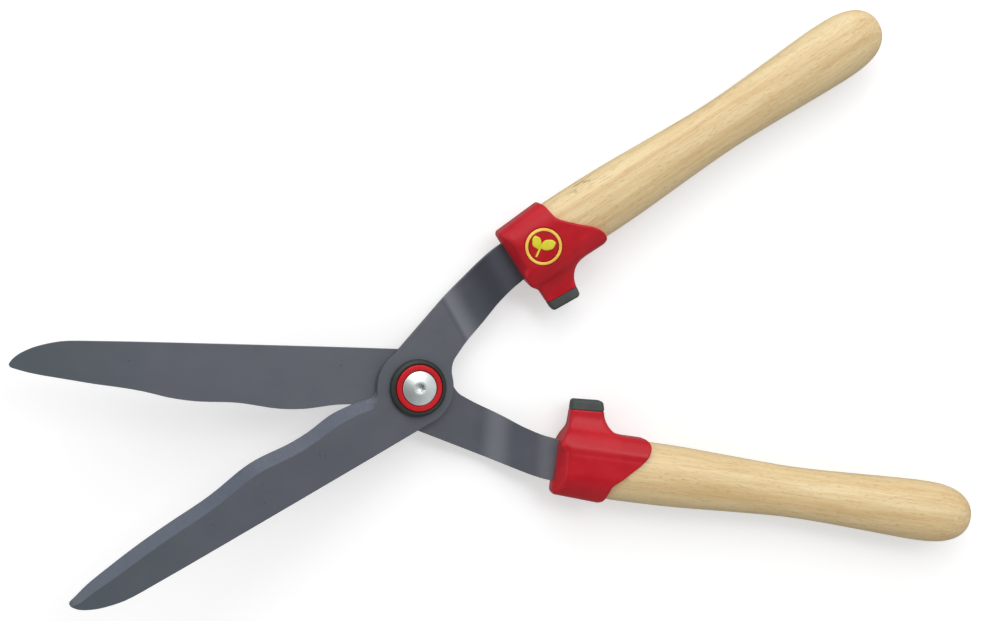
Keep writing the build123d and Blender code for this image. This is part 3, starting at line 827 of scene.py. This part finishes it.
def handle_mesh(side):
    """Shaped bar from the collar, closed by a rounded nose."""
    bar = np.linspace(HANDLE_START, NOSE_START, 110)
    t = np.sin(np.linspace(0, math.pi / 2, 36))[1:-1]
    stations = np.concatenate([bar, NOSE_START + t * (HANDLE_END - NOSE_START)])
    nose_widths = NOSE_HALF_WIDTH * (1 - t ** 3.1) ** 0.46
    widths = np.concatenate([smooth_table(HALF_WIDTHS, bar), nose_widths])

    angles = circle_angles(HANDLE_AROUND)
    section_y = signed_power(np.cos(angles), 2.0 / HANDLE_EXPONENT)
    section_z = signed_power(np.sin(angles), 2.0 / HANDLE_EXPONENT)
    verts = []
    for x, width, bow in zip(stations, widths, smooth_table(BOW, stations)):
        for y, z in zip(section_y, section_z):
            verts.append((x * MM, side * (width * y + bow) * MM,
                          width * HANDLE_FLATNESS * z * MM))
    faces = loft_faces(len(stations), HANDLE_AROUND)
    start, end = len(verts), len(verts) + 1
    verts += [(HANDLE_START * MM, 0, 0), (HANDLE_END * MM, 0, 0)]
    last = (len(stations) - 1) * HANDLE_AROUND
    for j in range(HANDLE_AROUND):
        k = (j + 1) % HANDLE_AROUND
        faces += [(start, k, j), (last + j, last + k, end)]
    return verts, faces


for side, name, body in SIDES:
    handle = add_mesh(name + "_handle_wood", *handle_mesh(side), grip_matrix(side))
    face_outward(handle)
    fit(handle, beech[side], body, name + "_handle")

# ------------------------------------------------ badge (mm from its centre)

# (radius, height over the collar), a closed section
BADGE_RING = [
    (9.15, -0.5), (9.15, 0.12), (9.27, 0.26), (9.5, 0.34), (10.02, 0.38), (10.5, 0.34),
    (10.78, 0.26), (10.9, 0.12), (10.9, -0.5)]
BADGE_RING_AROUND = 160
# (x, y) outlines before the sprig is turned
LEAF_TOP = [(0, 0), (3.6, 3.4), (8.2, 2.6), (10.0, 0.4)]
LEAF_BOTTOM = [(10.0, 0.4), (7.4, -2.4), (3.2, -2.3), (0, 0)]
STEM = [(-2.35, -7.1), (-1.9, -7.3), (-1.3, -7.2), (-1.1, -4.4),
        (-1.05, -1.3), (-1.5, -1.1), (-2.2, -1.3), (-2.3, -4.4)]
SPRIG_TURN = math.radians(-55)


def drape(x, y, lift):
    """Vertices at badge coordinates x, y, lifted above the upper collar's top."""
    x, y = BADGE_X + x, BADGE_Y + y
    low, high = np.full(np.shape(x), 8.0), np.full(np.shape(x), 20.0)
    for _ in range(30):
        middle = (low + high) / 2
        inside = collar_shapes[UPPER](x, y, middle) < 0
        low, high = np.where(inside, middle, low), np.where(inside, high, middle)
    return list(zip(x * MM, y * MM, (low + lift) * MM))


def badge_ring_mesh():
    angles = circle_angles(BADGE_RING_AROUND)
    verts = []
    for radius, lift in BADGE_RING:
        verts += drape(radius * np.cos(angles), radius * np.sin(angles), lift)
    return verts, loft_faces(len(BADGE_RING), BADGE_RING_AROUND, closed=True)


def rotated(points, angle):
    cos, sin = math.cos(angle), math.sin(angle)
    x, y = points.T
    return np.stack([x * cos - y * sin, x * sin + y * cos], 1)


def leaf_outline(scale, degrees, foot):
    points = np.concatenate([catmull_rom(half, per=8)[:-1] for half in (LEAF_TOP, LEAF_BOTTOM)])
    return rotated(points * scale, math.radians(degrees)) + np.array(foot)


def plate_mesh(outline, height=0.38):
    """A small plate with a rounded edge lying on the collar."""
    points = rotated(outline, SPRIG_TURN)
    centre = points.mean(0)
    # (share of the outline's size, height over the collar)
    levels = [(1.0, -0.4), (1.0, 0.10), (0.965, 0.24), (0.90, 0.33), (0.78, height),
              (0.5, height + 0.05), (0.2, height + 0.02)]
    verts = []
    for share, lift in levels:
        x, y = (centre + (points - centre) * share).T
        verts += drape(x, y, lift)
    around = len(points)
    faces = loft_faces(len(levels), around)
    faces.append(tuple(range(len(verts) - around, len(verts))))
    return verts, faces


def joined(parts):
    verts, faces = [], []
    for part_verts, part_faces in parts:
        start = len(verts)
        verts += part_verts
        faces += [tuple(i + start for i in face) for face in part_faces]
    return verts, faces


badge_ring = add_mesh("badge_ring_gold", *badge_ring_mesh(), grip_matrix(UPPER))
face_outward(badge_ring)
fit(badge_ring, badge_gold, "front_half", "badge_ring")

sprig = add_mesh("badge_sprig_gold", *joined([
    plate_mesh(leaf_outline(scale=1.0, degrees=38, foot=(-1.8, -1.6))),
    plate_mesh(leaf_outline(scale=0.88, degrees=128, foot=(-1.6, -2.6))),
    plate_mesh(np.array(STEM), height=0.3),
]), grip_matrix(UPPER))
face_outward(sprig)
fit(sprig, badge_leaf, "front_half", "badge_sprig")

# ---------------------------------------------------- pivot (mm, pivot frame)

STEEL_TOP = 4.04
SEAL_BOTTOM = STEEL_TOP + 0.05
SEAL_TOP = SEAL_BOTTOM + 4.35
CAP_BOTTOM = SEAL_BOTTOM + 1.5
CAP_TOP = SEAL_BOTTOM + 4.9
HEAD_BOTTOM = CAP_BOTTOM + 1.5
SHANK_END = -STEEL_TOP - 9.05
HEAD_SEAT_RADIUS, CAP_RADIUS, SEAL_RADIUS, BUSH_RADIUS, BOLT_RADIUS = 10.4, 14.0, 17.2, 6.5, 4.0
HEAD_RADIUS = HEAD_SEAT_RADIUS - 0.1
HEAD_ROUNDING = 0.35
HEAD_WALL_TOP = HEAD_BOTTOM + 1.7  # where the head's side starts to round over
SOCKET_HALF_FLATS = 2.5
SOCKET_FLOOR = HEAD_BOTTOM + 0.4
LATHE_AROUND, BOLT_AROUND = 128, 144


def rounded_profile(points, per=5):
    """Closed outline of (radius, height[, corner radius]) with its corners rounded."""
    outline = []
    for i, (*point, corner) in enumerate(p if len(p) > 2 else (*p, 0.0) for p in points):
        point = np.array(point, float)
        if corner <= 0:
            outline.append(tuple(point))
            continue
        back = np.array(points[i - 1][:2], float) - point
        ahead = np.array(points[(i + 1) % len(points)][:2], float) - point
        back_length, ahead_length = np.linalg.norm(back), np.linalg.norm(ahead)
        back, ahead = back / back_length, ahead / ahead_length
        half_angle = math.acos(max(-1, min(1, float(back @ ahead)))) / 2
        reach = min(corner / math.tan(half_angle), 0.49 * back_length, 0.49 * ahead_length)
        corner = reach * math.tan(half_angle)
        inward = (back + ahead) / np.linalg.norm(back + ahead)
        centre = point + inward * (corner / math.sin(half_angle))
        start, end = point + back * reach - centre, point + ahead * reach - centre
        for k in range(per + 1):
            t = k / per
            spoke = start * (1 - t) + end * t
            outline.append(tuple(centre + spoke / np.linalg.norm(spoke) * corner))
    return outline


def loop_verts(loops, around):
    """Vertices of (radius, height) loops. A radius may be one number or one per vertex."""
    verts = []
    for radius, z in loops:
        for r, angle in zip(np.broadcast_to(radius, (around,)), circle_angles(around)):
            verts.append((r * math.cos(angle) * MM, r * math.sin(angle) * MM, z * MM))
    return verts


def lathe(name, points):
    profile = rounded_profile(points)
    faces = loft_faces(len(profile), LATHE_AROUND, closed=True)
    ob = add_mesh(name, loop_verts(profile, LATHE_AROUND), faces, PIVOT)
    face_outward(ob, sharp_degrees=40)
    return ob


def dome(radius):
    """Height of the domed head at a radius."""
    return HEAD_BOTTOM + 3.56 - 1.21 * (radius / (HEAD_SEAT_RADIUS - HEAD_ROUNDING)) ** 2.3


def bolt_mesh():
    """Domed head with a hexagon socket, on a plain shank."""
    sector = math.pi / 6
    hexagon = np.array([SOCKET_HALF_FLATS / math.cos(((a + sector) % (2 * sector)) - sector)
                        for a in circle_angles(BOLT_AROUND)])
    loops = [
        (BOLT_RADIUS - 0.7, SHANK_END), (BOLT_RADIUS, SHANK_END + 0.7),
        (BOLT_RADIUS, HEAD_BOTTOM), (HEAD_RADIUS - 0.15, HEAD_BOTTOM),
        (HEAD_RADIUS, HEAD_BOTTOM + 0.15), (HEAD_RADIUS, HEAD_WALL_TOP)]
    rounding_height = dome(HEAD_RADIUS - HEAD_ROUNDING) - HEAD_WALL_TOP
    for t in np.linspace(0.15, 1, 6):
        angle = t * math.pi / 2
        loops.append((HEAD_RADIUS - HEAD_ROUNDING * (1 - math.cos(angle)),
                      HEAD_WALL_TOP + rounding_height * math.sin(angle)))
    for radius in (9.75, 9.4, 8.8, 7.8, 6.8, 5.8, 4.9, 4.3, 3.8):
        loops.append((radius, dome(radius)))
    # turned step round the socket, then the socket itself
    rim = dome(3.3) - 0.16
    loops += [
        (3.62, dome(3.6) - 0.02), (3.5, dome(3.5) - 0.16),
        (hexagon + 0.30, rim), (hexagon + 0.12, rim - 0.04), (hexagon, rim - 0.16),
        (hexagon, SOCKET_FLOOR), (1.6, SOCKET_FLOOR), (0.5, SOCKET_FLOOR - 0.3)]
    verts = loop_verts(loops, BOLT_AROUND)
    faces = loft_faces(len(loops), BOLT_AROUND)
    faces.append(tuple(range(BOLT_AROUND))[::-1])
    faces.append(tuple(range(len(verts) - BOLT_AROUND, len(verts))))
    return verts, faces


seal = lathe("seal_ring_rubber", [
    (BUSH_RADIUS + 0.1, SEAL_BOTTOM), (SEAL_RADIUS, SEAL_BOTTOM, 0.5),
    (SEAL_RADIUS, SEAL_BOTTOM + 3.2, 1.9), (SEAL_RADIUS - 1.7, SEAL_TOP, 0.9),
    (CAP_RADIUS + 0.42, SEAL_TOP, 0.35), (CAP_RADIUS + 0.42, CAP_BOTTOM),
    (BUSH_RADIUS + 0.1, CAP_BOTTOM)])
fit(seal, seal_rubber, "rear_half", "seal_ring")

cap = lathe("cap_ring_red", [
    (BOLT_RADIUS + 0.15, CAP_BOTTOM), (CAP_RADIUS - 0.02, CAP_BOTTOM),
    (CAP_RADIUS - 0.02, CAP_TOP, 0.7), (HEAD_SEAT_RADIUS + 0.30, CAP_TOP, 0.3),
    (HEAD_SEAT_RADIUS + 0.30, HEAD_BOTTOM - 0.03), (BOLT_RADIUS + 0.15, HEAD_BOTTOM - 0.03)])
fit(cap, red_cap, "rear_half", "cap_ring")

bolt = add_mesh("pivot_bolt_bright", *bolt_mesh(), PIVOT)
face_outward(bolt, sharp_degrees=35)
fit(bolt, bright_bolt, "pivot_screw", "pivot_bolt")

# ------------------------------------------- CAD pieces that keep their shape

for material, pieces in (
    (steel_material("steel_front", UPPER), ["front_blade"]),
    (steel_material("steel_rear", LOWER), ["rear_blade"]),
    (plain_steel, ["upper_tang_pin", "lower_tang_pin", "disc_spring"]),
    (zinc, ["upper_collar_screw", "lower_collar_screw", "rear_washer", "lock_nut"]),
    (bronze, ["pivot_bush"]),
):
    for piece in pieces:
        dress(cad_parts[piece], material)

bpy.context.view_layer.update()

# -------------------------------------------------------------- stage (m)

FLOOR_HALF = 6.0


def glowing_grey(tree, grey, glow):
    """Diffuse grey plus white emission."""
    diffuse = add_node("ShaderNodeBsdfDiffuse", {"Color": (grey, grey, grey)}, tree)
    emission = add_node("ShaderNodeEmission", {"Color": (1.0, 1.0, 1.0), "Strength": glow}, tree)
    both = {0: Signal(diffuse.outputs[0]), 1: Signal(emission.outputs[0])}
    return Signal(add_node("ShaderNodeAddShader", both).outputs[0])


def floor_material():
    """Bright to the camera, dim to other rays, and clear from below."""
    material, tree, output = empty_material("floor")
    bright = glowing_grey(tree, grey=0.72, glow=0.42)
    dim = glowing_grey(tree, grey=0.11, glow=0.24)
    clear = Signal(add_node("ShaderNodeBsdfTransparent", tree=tree).outputs[0])
    light_path = add_node("ShaderNodeLightPath", tree=tree)
    geometry = add_node("ShaderNodeNewGeometry", tree=tree)
    to_camera = Signal(light_path.outputs["Is Camera Ray"])
    from_below = Signal(geometry.outputs["Backfacing"])
    above = Signal(add_node("ShaderNodeMixShader", {0: to_camera, 1: dim, 2: bright}).outputs[0])
    shown = add_node("ShaderNodeMixShader", {0: from_below, 1: above, 2: clear})
    plug(output, Signal(shown.outputs[0]))
    return material


def add_floor():
    z = cad_box[0][2]
    corners = [(x * FLOOR_HALF, y * FLOOR_HALF, z) for x, y in ((-1, -1), (1, -1), (1, 1), (-1, 1))]
    floor = add_mesh("floor", corners, [(0, 1, 2, 3)], smooth=False)
    dress(floor, floor_material())


def add_world():
    """White sky, dim overhead and brighter towards +Y."""
    world = bpy.data.worlds.new("studio")
    bpy.context.scene.world = world
    world.use_nodes = True
    tree = world.node_tree
    coord = Signal(add_node("ShaderNodeTexCoord", tree=tree).outputs["Generated"])
    _, y, z = split(coord)
    overhead = remap(z, span=(0.70, 0.95), to=(1.0, 0.16), smooth=True)
    sideways = remap(y, span=(-1.0, 1.0), to=(0.5, 1.42))
    background = tree.nodes["Background"]
    plug(background.inputs["Strength"], overhead * sideways * 0.85)
    plug(background.inputs["Color"], (1.0, 1.0, 1.0))


def area_light(name, location, target, width, height, power):
    light = bpy.data.lights.new(name, "AREA")
    light.shape = "RECTANGLE"
    light.size = width
    light.size_y = height
    light.energy = power
    ob = bpy.data.objects.new(name, light)
    bpy.context.scene.collection.objects.link(ob)
    ob.location = location
    aim = Vector(target) - Vector(location)
    ob.rotation_euler = aim.to_track_quat("-Z", "Y").to_euler()
    ob.visible_camera = False


def add_camera():
    """Camera nearly straight above, looking down."""
    camera = bpy.data.cameras.new("camera")
    camera.lens = 47.7064
    camera.sensor_width = 36.0
    camera.sensor_fit = "HORIZONTAL"
    camera.shift_y = 0.000203874
    camera.clip_start = 0.01
    camera.clip_end = 50.0
    ob = bpy.data.objects.new("camera", camera)
    bpy.context.scene.collection.objects.link(ob)
    ob.matrix_world = axes_matrix(
        x=Vector((0.9756622, -0.2113931, 0.0582764)),
        y=Vector((0.2155661, 0.9733483, -0.0782576)),
        z=Vector((-0.0401801, 0.0889154, 0.9952284)),
        origin=(0.0221537, 0.1046224, 0.7752869))
    bpy.context.scene.camera = ob


add_floor()
add_world()
area_light("key", location=(0.30, 1.35, 1.35), target=(0.05, 0, 0),
           width=1.2, height=1.2, power=9.5)
area_light("top", location=(0.92, 0.58, 1.80), target=(0.05, 0, 0),
           width=0.95, height=0.5, power=8.5)
area_light("left", location=(-1.4, 0.3, 0.45), target=(0.0, 0, 0),
           width=0.4, height=1.4, power=0.9)
add_camera()

view = bpy.context.scene.view_settings
view.view_transform = "Standard"
view.look = "None"
view.exposure = 0.0
view.gamma = 1.0
